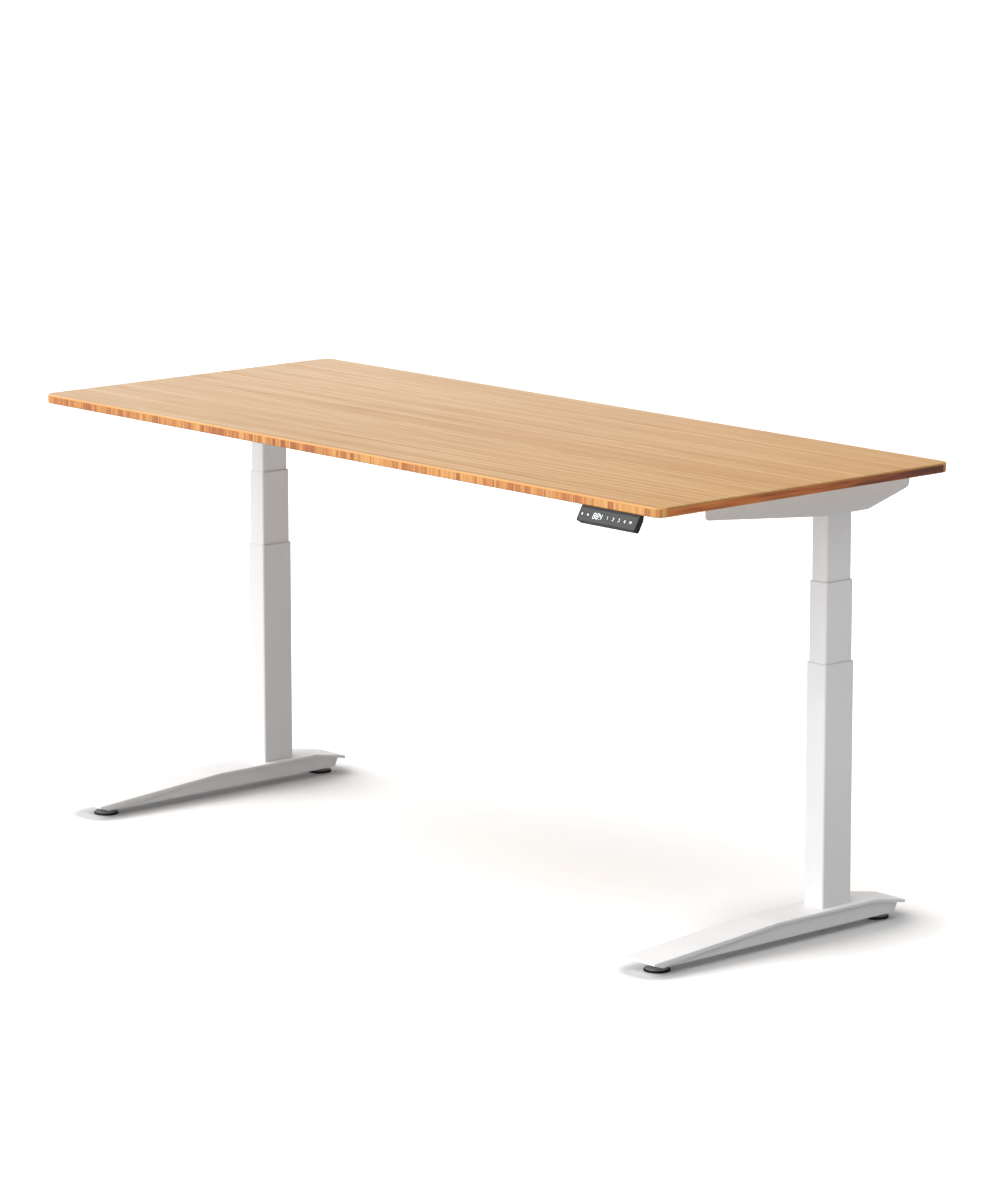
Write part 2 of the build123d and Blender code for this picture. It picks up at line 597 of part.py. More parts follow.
def box_shell(bottom, top, open_up):
    """One half of the control box, hollow and open towards the other half."""
    middle = Pos(BOX_X, BOX_Y)
    outline = middle * RectangleRounded(BOX_W, BOX_D, BOX_CORNER)
    room = middle * RectangleRounded(BOX_W - 2 * BOX_WALL, BOX_D - 2 * BOX_WALL, BOX_CORNER - BOX_WALL)
    start = bottom + BOX_WALL if open_up else bottom - 1
    end = top + 1 if open_up else top - BOX_WALL
    shell = extrude(Plane.XY.offset(bottom) * outline, top - bottom)
    return shell - extrude(Plane.XY.offset(start) * room, end - start)


def control_box_base():
    """Upper half with four ears, held against the worktop."""
    base = box_shell(BOX_SPLIT, UNDERSIDE, False)
    for sign in (-1, 1):
        edge, tip = sorted((BOX_X + sign * (BOX_W / 2 - 3), BOX_X + sign * (BOX_W / 2 + BOX_EAR_REACH)))
        for y in BOX_EAR_YS:
            front, rear = BOX_Y + y - BOX_EAR_HALF_W, BOX_Y + y + BOX_EAR_HALF_W
            base += block(edge, tip, front, rear, DRIVE_TOP, UNDERSIDE)
    for x, y in box_screws_on_desk():
        base -= post(M6_R + SCREW_CLEARANCE, DRIVE_TOP - 1, UNDERSIDE + 1, x, y)
    return base


def control_box_lid():
    """Lower half, with a window for each socket in its rear wall."""
    lid = box_shell(UNDERSIDE - BOX_H, BOX_SPLIT, True)
    rear = BOX_Y + BOX_D / 2
    for x, width, half in SOCKETS:
        left, right = BOX_X + x - width / 2, BOX_X + x + width / 2
        lid -= block(left, right, rear - 5, rear + 1, SOCKET_Z - half, SOCKET_Z + half)
    return lid


def control_board():
    """Circuit board with the mains inlet, four sockets, the transformer and capacitors."""
    half_w, half_d = BOX_W / 2 - 7.0, BOX_D / 2 - 5.0
    rear, slack = BOX_Y + BOX_D / 2, 0.2
    board = block(BOX_X - half_w, BOX_X + half_w, BOX_Y - half_d, BOX_Y + half_d, BOARD_Z, BOARD_Z + BOARD_T)
    sockets = [
        block(BOX_X + x - width / 2 + slack, BOX_X + x + width / 2 - slack, rear - 20, rear - 3.2,
              SOCKET_Z - half + slack, BOARD_Z)
        for x, width, half in SOCKETS
    ]
    transformer = block(BOX_X + 85, BOX_X + 122, BOX_Y - 30, BOX_Y + 12, BOARD_Z - 22, BOARD_Z)
    capacitors = [post(8.0, BOARD_Z - 22, BOARD_Z, BOX_X + x, BOX_Y - 26) for x in (-70.0, -48.0, -26.0)]
    heat_sink = block(BOX_X - 5, BOX_X + 65, BOX_Y - 34, BOX_Y - 28, BOARD_Z - 20, BOARD_Z)
    return [board, *sockets, transformer, *capacitors, heat_sink]


# ---------------------------------------------------------------- handset

TILT = radians(HANDSET_TILT)
FACE_OUT = Vector(0, -cos(TILT), sin(TILT))
FACE_UP = Vector(0, sin(TILT), cos(TILT))
FACE_TOP = Vector(HANDSET_X, DESK_Y - DESK_D / 2, UNDERSIDE - 1.5)
FACE_BOTTOM = FACE_TOP - FACE_UP * HANDSET_FACE_H
FACE_PLANE = Plane(origin=(FACE_TOP + FACE_BOTTOM) * 0.5, x_dir=(1, 0, 0), z_dir=FACE_OUT)


def face_block(width, height, near, far, corner=0.0, along=0.0):
    """A plate parallel to the handset's face between two depths behind it."""
    plate = FACE_PLANE * Pos(along, 0, -(near + far) / 2) * Box(width, height, far - near)
    if corner:
        plate = fillet(plate.edges().filter_by(lambda e: abs(e.tangent_at(0.5).dot(FACE_OUT)) > 0.99), corner)
    return plate


def face_post(radius, near, far, along):
    """A round bar square to the handset's face between two depths behind it."""
    return FACE_PLANE * Pos(along, 0, -(near + far) / 2) * Cylinder(radius, far - near)


def handset_case():
    """Flat case whose rim frames the face, seated against the worktop, on a neck with a screwed flange."""
    middle = FACE_TOP - FACE_OUT * HANDSET_DEPTH / 2
    neck_top, neck_bottom = middle - FACE_UP * 2.0, middle - FACE_UP * 20.0
    neck_rear = FACE_TOP.Y + HANDSET_NECK_REAR
    neck = [
        (neck_top.Y, neck_top.Z),
        (neck_top.Y + 1.0, UNDERSIDE),
        (neck_rear, UNDERSIDE),
        (neck_rear, UNDERSIDE - 6.0),
        (neck_bottom.Y, neck_bottom.Z),
    ]
    rear_top = FACE_TOP - FACE_OUT * HANDSET_DEPTH
    seat_rear, seat_front = rear_top - FACE_UP * HANDSET_SEAT_DEPTH, FACE_TOP - FACE_UP * HANDSET_SEAT_DEPTH
    seat = [
        (FACE_TOP.Y, FACE_TOP.Z),
        (FACE_TOP.Y + 1.0, UNDERSIDE),
        (rear_top.Y, UNDERSIDE),
        (seat_rear.Y, seat_rear.Z),
        (seat_front.Y, seat_front.Z),
    ]
    case = face_block(HANDSET_W, HANDSET_FACE_H, 0, HANDSET_DEPTH, HANDSET_CORNER)
    case += Pos(HANDSET_X, 0, 0) * side_shape(seat, HANDSET_W / 2)
    case += Pos(HANDSET_X, 0, 0) * side_shape(neck, HANDSET_NECK_W / 2)
    half = HANDSET_FLANGE_W / 2
    case += block(HANDSET_X - half, HANDSET_X + half, neck_rear - 1, FACE_TOP.Y + HANDSET_FLANGE_REAR,
                  DRIVE_TOP, UNDERSIDE)
    inside_w, inside_h = HANDSET_W - 2 * HANDSET_RIM, HANDSET_FACE_H - 2 * HANDSET_RIM
    case -= face_block(inside_w, inside_h, -1, HANDSET_FACE_T, HANDSET_CORNER - HANDSET_RIM)
    case -= face_block(inside_w - 1, inside_h - 3, HANDSET_FACE_T - 1, HANDSET_DEPTH - 2)
    case -= face_post(HANDSET_LEAD_R, HANDSET_DEPTH - 3, HANDSET_DEPTH + 40, 0)
    for x, y in handset_screws_on_desk():
        case -= post(M6_R + SCREW_CLEARANCE, DRIVE_TOP - 1, UNDERSIDE + 1, x, y)
    return case


def handset_face():
    """Front plate with a round hole for each key."""
    border = HANDSET_RIM + 0.15
    face = face_block(HANDSET_W - 2 * border, HANDSET_FACE_H - 2 * border, 0.3, HANDSET_FACE_T,
                      HANDSET_CORNER - border)
    for along in KEY_PLACES.values():
        face -= face_post(KEY_R + 0.3, -1, HANDSET_FACE_T + 1, along)
    return face


def handset_board():
    """Board with a switch under each key and the display module behind the face."""
    board = face_block(HANDSET_W - 10, HANDSET_FACE_H - 8, 6.6, 8.2)
    display = face_block(DISPLAY_W, DISPLAY_H, HANDSET_FACE_T + 0.3, 6.6, along=DISPLAY_PLACE)
    switches = [face_block(5, 5, 6.0, 6.6, along=along) for along in KEY_PLACES.values()]
    return [board, display, *switches]


def handset_key(along):
    """Flush key with a flange behind the face and a stem over its switch."""
    cap = face_post(KEY_R, 0.3, HANDSET_FACE_T + 0.3, along)
    flange = face_post(KEY_R + 1.0, HANDSET_FACE_T + 0.3, HANDSET_FACE_T + 1.1, along)
    stem = face_post(1.5, HANDSET_FACE_T + 1.1, 6.0 - KEY_TRAVEL - 0.1, along)
    return cap + flange + stem


# ---------------------------------------------------------------- the nodes

def countersunk_screws():
    places = rail_screw_places()
    screws = [countersunk_screw(x, y, INNER_TOP, True) for x, y in places]
    screws += [countersunk_screw(x, y, UNDERSIDE, False) for x, y in places]
    return [on_column(screw, side) for side in (-1, 1) for screw in screws]


def pan_head_screws():
    screws = [pan_head_screw(x, y, DRIVE_TOP) for x, y in desk_screw_places()]
    locks = [(x, COLUMN_Y + y) for x in (-RAIL_LOCK_X, RAIL_LOCK_X) for y in (-RAIL_OFFSET, RAIL_OFFSET)]
    return screws + [pan_head_screw(x, y, DRIVE_BOTTOM - 2) for x, y in locks]


def both_sides(*pieces):
    return joined([on_column(piece, side) for side in (-1, 1) for piece in pieces])


def build_nodes():
    nodes = {}
    for name, side in (("left", -1), ("right", 1)):
        nodes[f"{name}_foot_channel"] = on_column(foot_channel(), side)
        nodes[f"{name}_foot_cover"] = on_column(foot_cover(), side)
        for stage, tube in column_tubes().items():
            nodes[f"{name}_{stage}_column"] = on_column(tube, side)
        nodes[f"{name}_spindle_carrier"] = on_column(spindle_carrier(), side)
        nodes[f"{name}_column_guides"] = joined([on_column(pad, side) for pad in column_guides()])
        nodes[f"{name}_side_bracket"] = on_column(side_bracket(), side)
        nodes[f"{name}_upper_spindle"] = on_column(upper_spindle(), side)
        nodes[f"{name}_worm_wheel"] = on_column(worm_wheel(), side)
        nodes[f"{name}_lower_spindle"] = on_column(lower_spindle(), side)
        nodes[f"{name}_motor_shaft"] = on_column(motor_shaft(), side)
        for end, y in (("front", GLIDE_FRONT_Y), ("rear", GLIDE_REAR_Y)):
            nodes[f"{name}_{end}_glide_sole"] = on_column(Pos(0, y, 0) * glide_sole(), side)
            nodes[f"{name}_{end}_glide_stud"] = on_column(Pos(0, y, 0) * glide_stud(), side)
    nodes["column_base_plates"] = both_sides(base_plate())
    nodes["foot_bolts"] = both_sides(*[foot_bolt(x, y) for x, y in foot_bolt_places()])
    nodes["glide_nuts"] = both_sides(glide_nut(GLIDE_FRONT_Y), glide_nut(GLIDE_REAR_Y))
    nodes["spindle_support_tubes"] = both_sides(spindle_support())
    nodes["column_head_plates"] = both_sides(head_plate())
    nodes["gearbox_housings"] = both_sides(gearbox_housing())
    nodes["spindle_bearings"] = both_sides(spindle_bearing())
    nodes["motor_cans"] = both_sides(motor_can())
    nodes["motor_covers"] = both_sides(motor_cover())
    nodes["frame_end_rails"] = both_sides(end_rail(-RAIL_OFFSET), end_rail(RAIL_OFFSET))
    nodes["frame_center_rails"] = joined([center_rail(COLUMN_Y + y) for y in (-RAIL_OFFSET, RAIL_OFFSET)])
    nodes["desktop"] = desktop()
    nodes["desktop_inserts"] = joined([desktop_insert(x, y) for x, y in desk_screw_places()])
    nodes["pan_head_screws"] = joined(pan_head_screws())
    nodes["countersunk_screws"] = joined(countersunk_screws())
    nodes["control_box_base"] = control_box_base()
    nodes["control_box_lid"] = control_box_lid()
    nodes["control_board"] = joined(control_board())
    nodes["handset_case"] = handset_case()
    nodes["handset_face"] = handset_face()
    nodes["handset_board"] = joined(handset_board())
    for name, along in KEY_PLACES.items():
        nodes[name] = handset_key(along)
    return nodes


os.makedirs("parts", exist_ok=True)
for node, shape in build_nodes().items():
    export_step(shape, f"parts/{node}.step")
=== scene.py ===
"""Looks of the height adjustable desk: its materials, its printed symbols, and the studio around it."""
import json
import math

import bpy
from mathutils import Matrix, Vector


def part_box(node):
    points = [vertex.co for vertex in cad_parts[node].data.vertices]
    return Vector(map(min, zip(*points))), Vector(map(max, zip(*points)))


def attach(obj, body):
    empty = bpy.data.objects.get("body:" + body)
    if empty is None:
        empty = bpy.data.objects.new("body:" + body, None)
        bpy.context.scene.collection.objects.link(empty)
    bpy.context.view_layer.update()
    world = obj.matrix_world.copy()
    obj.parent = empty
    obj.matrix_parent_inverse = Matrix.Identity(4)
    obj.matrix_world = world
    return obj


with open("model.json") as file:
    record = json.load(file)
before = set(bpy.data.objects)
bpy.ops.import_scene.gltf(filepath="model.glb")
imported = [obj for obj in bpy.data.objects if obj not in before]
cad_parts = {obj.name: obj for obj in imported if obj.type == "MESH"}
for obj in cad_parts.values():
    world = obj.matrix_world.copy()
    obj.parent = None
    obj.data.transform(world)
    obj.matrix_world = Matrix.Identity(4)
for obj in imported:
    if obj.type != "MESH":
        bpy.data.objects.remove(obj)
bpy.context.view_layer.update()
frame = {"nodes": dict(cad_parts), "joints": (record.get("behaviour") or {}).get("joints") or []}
nodes = frame["nodes"]
scene = bpy.context.scene
scene.view_settings.view_transform = "Standard"

desk_low, desk_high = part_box("desktop")
DESK_TOP = desk_high.z
DESK_W = desk_high.x - desk_low.x
FRONT_Y, REAR_Y = desk_low.y, desk_high.y


# ---------------------------------------------------------------- material shorthand

class Material:
    """One procedural material, with short names for the nodes it is built from."""

    def __init__(self, name):
        self.data = bpy.data.materials.new(name)
        self.data.use_nodes = True
        self.tree = self.data.node_tree
        self.shader = self.tree.nodes["Principled BSDF"]
        self.place = self.add("TexCoord")
        self.object = self.place.outputs["Object"]

    def add(self, kind, inputs=None, **settings):
        node = self.tree.nodes.new("ShaderNode" + kind)
        for name, value in settings.items():
            setattr(node, name, value)
        for name, value in (inputs or {}).items():
            self.feed(node.inputs[name], value)
        return node

    def feed(self, socket, value):
        if isinstance(value, bpy.types.NodeSocket):
            self.tree.links.new(value, socket)
        else:
            socket.default_value = value

    def set(self, **inputs):
        """Sets or links inputs of the shader; an underscore stands for a space in the input's name."""
        for name, value in inputs.items():
            self.feed(self.shader.inputs[name.replace("_", " ")], value)

    def math(self, operation, a, b=0.0, c=0.0):
        return self.add("Math", {0: a, 1: b, 2: c}, operation=operation).outputs[0]

    def total(self, *parts):
        """Sum of values, each times its weight."""
        value, weight = parts[0]
        result = self.math("MULTIPLY", value, weight)
        for value, weight in parts[1:]:
            result = self.math("MULTIPLY_ADD", value, weight, result)
        return result

    def random_by_cell(self, place, per_metre, spread):
        """One random number, 0 to 1, for each of the uneven cells along a line."""
        values = {"W": place, "Scale": per_metre, "Randomness": spread}
        cell = self.add("TexVoronoi", values, voronoi_dimensions="1D")
        return self.add("SeparateColor", {0: cell.outputs["Color"]}).outputs[0]

    def cell_edge(self, place, per_metre, spread):
        """Distance to the nearest border of the same cells, in cells."""
        values = {"W": place, "Scale": per_metre, "Randomness": spread}
        cell = self.add("TexVoronoi", values, voronoi_dimensions="1D", feature="DISTANCE_TO_EDGE")
        return cell.outputs["Distance"]

    def scaled(self, x, y, z, shift=(0.0, 0.0, 0.0)):
        """Object coordinates, each times its own scale."""
        return self.add("Mapping", {"Vector": self.object, "Scale": (x, y, z), "Location": shift}).outputs[0]

    def noise(self, vector, scale=1.0, detail=2.0, rough=0.5, distortion=0.0):
        values = {"Vector": vector, "Scale": scale, "Detail": detail, "Roughness": rough}
        return self.add("TexNoise", {**values, "Distortion": distortion}).outputs["Fac"]

    def even_noise(self, scale, detail=2.0, rough=0.5):
        """Noise of the same size in every direction."""
        return self.noise(self.scaled(1, 1, 1), scale, detail, rough)

    def remap(self, value, low, high, to_low=0.0, to_high=1.0):
        """Value from one range to another, held at the ends."""
        values = {"Value": value, "From Min": low, "From Max": high, "To Min": to_low, "To Max": to_high}
        return self.add("MapRange", values).outputs[0]

    def ramp(self, value, stops):
        """Colour from a value, through a list of (position, colour)."""
        node = self.add("ValToRGB", {"Fac": value})
        ramp = node.color_ramp
        while len(ramp.elements) < len(stops):
            ramp.elements.new(1.0)
        for element, (position, colour) in zip(ramp.elements, stops):
            element.position = position
            element.color = (*colour, 1.0)
        return node.outputs["Color"]

    def mix(self, share, a, b, blend="MIX"):
        node = self.add("Mix", data_type="RGBA", blend_type=blend)
        for name, value in (("Factor_Float", share), ("A_Color", a), ("B_Color", b)):
            socket = next(s for s in node.inputs if s.identifier == name)
            if isinstance(value, tuple):
                value = (*value, 1.0)
            self.feed(socket, value)
        return next(s for s in node.outputs if s.identifier == "Result_Color")

    def bump(self, height, strength, distance, normal=None):
        values = {"Height": height, "Strength": strength, "Distance": distance}
        if normal is not None:
            values["Normal"] = normal
        return self.add("Bump", values).outputs["Normal"]

    def soft_edges(self, radius):
        """A normal that rounds the sharp edges of a part by a radius."""
        return self.add("Bevel", {"Radius": radius}, samples=4).outputs["Normal"]


def linear(*display):
    """A display colour, 0 to 255, as linear light."""
    return tuple(((c / 255 + 0.055) / 1.055) ** 2.4 if c > 10 else c / 255 / 12.92 for c in display)


def grey(tone):
    return tone, tone, tone


# ---------------------------------------------------------------- bamboo

# strips, thin strips and pale lines per metre, on the faces and along the edges
FACE_STRIPS, FACE_STRIP_SPREAD = 46.0, 0.6
EDGE_STRIPS, EDGE_SLIVERS, EDGE_LINES = 72.0, 250.0, 24.0
EDGE_HALF_SHIFT = 7.3
# painted sheen: what the faces' tone is multiplied by at the left end and at the right end, paler at the left
# and darker and more saturated at the right
SHEEN_TONE_LEFT, SHEEN_TONE_RIGHT = (0.97, 0.98, 1.0), (0.80, 0.66, 0.43)
# depth under the top face where the painted highlight along the edges begins to fade, and where it has ended
HIGHLIGHT_BAND_DEPTH, HIGHLIGHT_BAND_END = 0.0034, 0.0042


def bamboo():
    """Bamboo board: long strips on the faces, upright ones on front, rear and corners, streaks on the ends."""
    m = Material("bamboo_board")
    x, y, z = m.add("SeparateXYZ", {0: m.object}).outputs
    facing = m.add("SeparateXYZ", {0: m.place.outputs["Normal"]}).outputs

    # upper and lower faces: strips that drift in tone, fine fibres, pale or dark glue lines, short dark marks
    lane = m.random_by_cell(y, FACE_STRIPS, FACE_STRIP_SPREAD)
    drift = m.add("CombineXYZ", {0: m.math("MULTIPLY", x, 1.7), 1: m.math("MULTIPLY", lane, 60.0)}).outputs[0]
    strip = m.noise(drift, detail=3, rough=0.55)
    grain = m.noise(m.scaled(3.2, 270, 40), detail=5, rough=0.75)
    fibres = m.noise(m.scaled(7, 420, 200), detail=3, rough=0.6)
    tone = m.total((strip, 0.14), (grain, 0.46), (lane, 0.08), (fibres, 0.32))
    face = m.ramp(tone, [
        (0.38, linear(190, 152, 116)),
        (0.46, linear(205, 169, 131)),
        (0.54, linear(212, 180, 145)),
        (0.64, linear(222, 194, 163)),
    ])
    seam = m.remap(m.cell_edge(y, FACE_STRIPS, FACE_STRIP_SPREAD), 0.05, 0.12, 1.0, 0.0)
    seam_run = m.noise(m.scaled(0.9, 30, 1, (0.0, 4.0, 0.0)), detail=1, rough=0.3)
    pale = m.math("MULTIPLY", seam, m.remap(seam_run, 0.50, 0.58, 0.0, 0.70))
    face = m.mix(pale, face, linear(246, 222, 190))
    dark = m.math("MULTIPLY", seam, m.remap(seam_run, 0.36, 0.42, 0.18, 0.0))
    face = m.mix(dark, face, linear(150, 106, 66))
    mark = m.noise(m.scaled(15, 150, 10, (0.0, 0.0, 2.0)), detail=2, rough=0.4)
    face = m.mix(m.remap(mark, 0.70, 0.80, 0.0, 0.45), face, linear(142, 92, 52))
    smoke = m.noise(m.scaled(5, 44, 10, (7.0, 0.0, 0.0)), detail=2, rough=0.4)
    face = m.mix(m.remap(smoke, 0.62, 0.78, 0.0, 0.12), face, linear(150, 104, 66))
    # painted sheen: the upper and lower faces grow paler towards the left end and darker and more saturated
    # towards the right
    along = m.remap(x, -DESK_W / 2, DESK_W / 2)
    face = m.mix(1.0, face, m.ramp(along, [(0.0, SHEEN_TONE_LEFT), (1.0, SHEEN_TONE_RIGHT)]), "MULTIPLY")

    # front and rear edges and the corners: narrow upright strips with pale lines between some of them;
    # the place along the edge also runs round the corners, and differs between the two halves
    half = m.math("MULTIPLY", m.math("GREATER_THAN", x, 0.0), EDGE_HALF_SHIFT)
    run = m.math("ADD", m.math("SUBTRACT", m.math("ABSOLUTE", x), m.math("ABSOLUTE", y)), half)
    edge_strip = m.random_by_cell(run, EDGE_STRIPS, 0.9)
    sliver = m.random_by_cell(run, EDGE_SLIVERS, 1.0)
    end_grain = m.ramp(m.total((edge_strip, 0.58), (sliver, 0.42)), [
        (0.14, linear(168, 101, 62)),
        (0.38, linear(194, 122, 72)),
        (0.60, linear(212, 146, 82)),
        (0.84, linear(223, 170, 104)),
    ])
    line = m.remap(m.cell_edge(run, EDGE_LINES, 0.8), 0.015, 0.04, 0.75, 0.0)
    end_grain = m.mix(line, end_grain, linear(229, 187, 122))
    pores = m.noise(m.scaled(900, 900, 500), detail=2, rough=0.7)
    end_grain = m.mix(m.remap(pores, 0.3, 0.6, 0.20, 0.0), end_grain, linear(120, 62, 30))

    # left and right ends: even, with soft streaks and a few smudges, and painted shade that darkens them
    # towards the rear
    streak = m.noise(m.scaled(40, 6, 130), detail=4, rough=0.55, distortion=0.3)
    streak = m.remap(streak, 0.0, 1.0, 0.15, 0.85)
    painted_rear_shade = m.remap(y, FRONT_Y, REAR_Y, 0.14, -0.20)
    side = m.ramp(m.math("ADD", streak, painted_rear_shade), [
        (0.28, linear(96, 46, 24)),
        (0.42, linear(134, 66, 30)),
        (0.54, linear(190, 104, 46)),
        (0.68, linear(226, 136, 58)),
    ])
    smudge = m.noise(m.scaled(10, 11, 90, (0.0, 1.7, 0.0)), detail=3, rough=0.5)
    side = m.mix(m.remap(smudge, 0.66, 0.74, 0.0, 0.75), side, linear(46, 24, 18))

    # each part of the board by the way it faces, with a painted highlight seen as a line along the top of the
    # edges
    endways = m.remap(m.math("ABSOLUTE", facing[1]), 0.14, 0.06)
    edge = m.mix(endways, end_grain, side)
    # painted highlight: a bright band along the top of the edges stands in for light on the rounded top edge,
    # brighter on the front and rear than on the ends
    highlight_band = m.remap(z, DESK_TOP - HIGHLIGHT_BAND_END, DESK_TOP - HIGHLIGHT_BAND_DEPTH)
    highlight_colour = m.mix(endways, linear(229, 166, 89), linear(186, 138, 82))
    highlight_colour = m.mix(m.remap(fibres, 0.35, 0.65, 0.25, 0.0), highlight_colour, linear(170, 110, 60))
    edge = m.mix(highlight_band, edge, highlight_colour)
    upright = m.remap(m.math("ABSOLUTE", facing[2]), 0.55, 0.8)
    colour = m.mix(upright, edge, face)

    relief = m.total((fibres, 0.6), (grain, 0.4))
    m.set(Base_Color=colour, Roughness=m.remap(grain, 0.3, 0.7, 0.46, 0.36), IOR=1.45,
          Normal=m.bump(relief, 0.18, 0.0004))
    return m.data


# ---------------------------------------------------------------- metals

def powder_coat():
    """White powder coat: a fine orange-peel skin over softened edges, a little uneven in tone."""
    m = Material("white_powder_coat_skin")
    peel = m.even_noise(620.0)
    cloud = m.even_noise(7.0, detail=3)
    colour = m.ramp(cloud, [(0.3, (0.83, 0.83, 0.835)), (0.7, (0.86, 0.86, 0.865))])
    m.set(Base_Color=colour, Roughness=m.remap(peel, 0.3, 0.7, 0.34, 0.48), IOR=1.45,
          Normal=m.bump(peel, 0.12, 0.0002, m.soft_edges(0.0008)))
    return m.data


def steel(name, tone, roughness, along, metal=1.0):
    """Machined or drawn steel with fine marks along one axis: 0 for X, 1 for Y, 2 for Z."""
    m = Material(name)
    scales = [25.0 if axis == along else 900.0 for axis in range(3)]
    marks = m.noise(m.scaled(*scales), detail=3, rough=0.6)
    stain = m.even_noise(22.0, detail=4, rough=0.6)
    dark = tuple(0.75 * c for c in tone)
    colour = m.ramp(m.total((marks, 0.6), (stain, 0.4)), [(0.35, dark), (0.62, tone)])
    m.set(Base_Color=colour, Metallic=metal,
          Roughness=m.remap(marks, 0.3, 0.7, roughness - 0.08, roughness + 0.10),
          Normal=m.bump(marks, 0.10, 0.0002, m.soft_edges(0.0004)))
    return m.data


SPINDLE_RIDGES = 0.004


def threaded_steel():
    """Rolled lead screw: a bright spindle with ridges round it, one for each turn of its thread."""
    m = Material("spindle_steel")
    height = m.add("SeparateXYZ", {0: m.object}).outputs["Z"]
    turn = m.math("SINE", m.math("MULTIPLY", height, 2 * math.pi / SPINDLE_RIDGES))
    film = m.even_noise(60.0, detail=3, rough=0.6)
    # painted shade and highlight: the colour also follows each turn, darker in the thread's roots and brighter
    # on its crests
    colour = m.ramp(m.math("ADD", m.math("MULTIPLY", turn, 0.15), film),
                    [(0.35, (0.20, 0.19, 0.17)), (0.65, (0.52, 0.51, 0.49))])
    m.set(Base_Color=colour, Metallic=1.0, Roughness=m.remap(film, 0.3, 0.7, 0.22, 0.38),
          Normal=m.bump(turn, 0.6, 0.0006))
    return m.data


# ---------------------------------------------------------------- plastics and boards

def plastic(name, tone, roughness, grit=900.0):
    """Moulded plastic with a fine spark-eroded skin."""
    m = Material(name)
    skin = m.even_noise(grit, rough=0.55)
    flow = m.even_noise(18.0, detail=3)
    lighter = tuple(min(1.0, 1.12 * c + 0.003) for c in tone)
    m.set(Base_Color=m.ramp(flow, [(0.35, tone), (0.68, lighter)]),
          Roughness=m.remap(skin, 0.3, 0.7, roughness - 0.06, roughness + 0.06), IOR=1.40,
          Normal=m.bump(skin, 0.15, 0.00015, m.soft_edges(0.0005)))
    return m.data


def circuit_board():
    """Green solder mask with copper tracks showing through it."""
    m = Material("circuit_board_mask")
    cells = m.add("TexBrick", {"Vector": m.scaled(1, 1, 1), "Scale": 90.0, "Mortar Size": 0.03})
    cells.inputs["Color1"].default_value = (0.012, 0.085, 0.035, 1.0)
    cells.inputs["Color2"].default_value = (0.015, 0.105, 0.045, 1.0)
    cells.inputs["Mortar"].default_value = (0.05, 0.20, 0.08, 1.0)
    dust = m.even_noise(120.0, detail=3)
    colour = m.mix(m.remap(dust, 0.4, 0.8, 0.0, 0.25), cells.outputs["Color"], (0.10, 0.16, 0.10))
    m.set(Base_Color=colour, Roughness=m.remap(dust, 0.3, 0.7, 0.28, 0.42),
          Normal=m.bump(cells.outputs["Fac"], 0.2, 0.0001))
    return m.data


def glow(name, tone, strength):
    """A glowing symbol: a film that glows a little unevenly; on the display it is the display's own light, on
    printed symbols a painted glow.
    """
    m = Material(name)
    film = m.even_noise(1500.0, detail=1)
    m.set(Base_Color=m.ramp(film, [(0.3, tuple(0.9 * c for c in tone)), (0.7, tone)]), Roughness=0.5)
    m.set(Emission_Color=(*tone, 1.0), Emission_Strength=strength)
    return m.data


# the finish of each material slot of the CAD
FINISHES = {
    "bamboo": bamboo(),
    "white_powder_coat": powder_coat(),
    "bare_steel": steel("bare_steel_tube", (0.56, 0.56, 0.57), 0.38, 2),
    "screw_steel": steel("zinc_plated_steel", (0.50, 0.51, 0.53), 0.32, 0),
    "guide_plastic": plastic("guide_nylon", (0.72, 0.72, 0.69), 0.48),
    "gear_plastic": plastic("gear_nylon", (0.66, 0.60, 0.46), 0.42),
    "cast_zinc": steel("cast_zinc_skin", (0.52, 0.52, 0.54), 0.52, 1, 0.9),
    "motor_steel": steel("blackened_motor_steel", (0.055, 0.055, 0.06), 0.40, 0, 0.6),
    "black_plastic": plastic("black_moulded_plastic", (0.004, 0.004, 0.0045), 0.46),
    "face_plastic": plastic("handset_face_film", (0.040, 0.041, 0.042), 0.44, grit=1400.0),
    "key_plastic": plastic("handset_key_film", (0.038, 0.039, 0.040), 0.46, grit=1400.0),
    "board_green": circuit_board(),
    "glide_grey": plastic("glide_grey_nylon", (0.34, 0.34, 0.35), 0.36),
    "glide_black": plastic("glide_black_rubber", (0.012, 0.012, 0.012), 0.62, grit=500.0),
    "insert_brass": steel("insert_brass_knurl", (0.62, 0.46, 0.20), 0.34, 2),
    "bearing_steel": steel("polished_bearing_steel", (0.60, 0.60, 0.61), 0.20, 0),
}
SPINDLE = threaded_steel()

for name, part in nodes.items():
    for socket in part.material_slots:
        slot = socket.material.name.split(".")[0]
        if slot in FINISHES:
            socket.material = FINISHES[slot]
    if name.endswith("_spindle"):
        part.material_slots[0].material = SPINDLE


# ---------------------------------------------------------------- symbols on the handset

press = next(joint for joint in frame["joints"] if joint["name"] == "key_one_press")
FACE_OUT = -Vector(press["axis"]).normalized()
FACE_ALONG = Vector((1.0, 0.0, 0.0))
FACE_UP = FACE_OUT.cross(FACE_ALONG)
# the print stands between these heights over the face
PRINT_LOW, PRINT_HIGH = 0.00001, 0.00006
# stroke widths, and the display's digits, in millimetres
SYMBOL_STROKE = 1.15
DIGIT_W, DIGIT_H, DIGIT_STROKE, DIGIT_LEAN = 4.9, 10.4, 1.5, 0.14
FIRST_DIGIT, DIGIT_STEP = -11.2, 8.4
POINT_X, POINT_Y = 6.0, -5.2


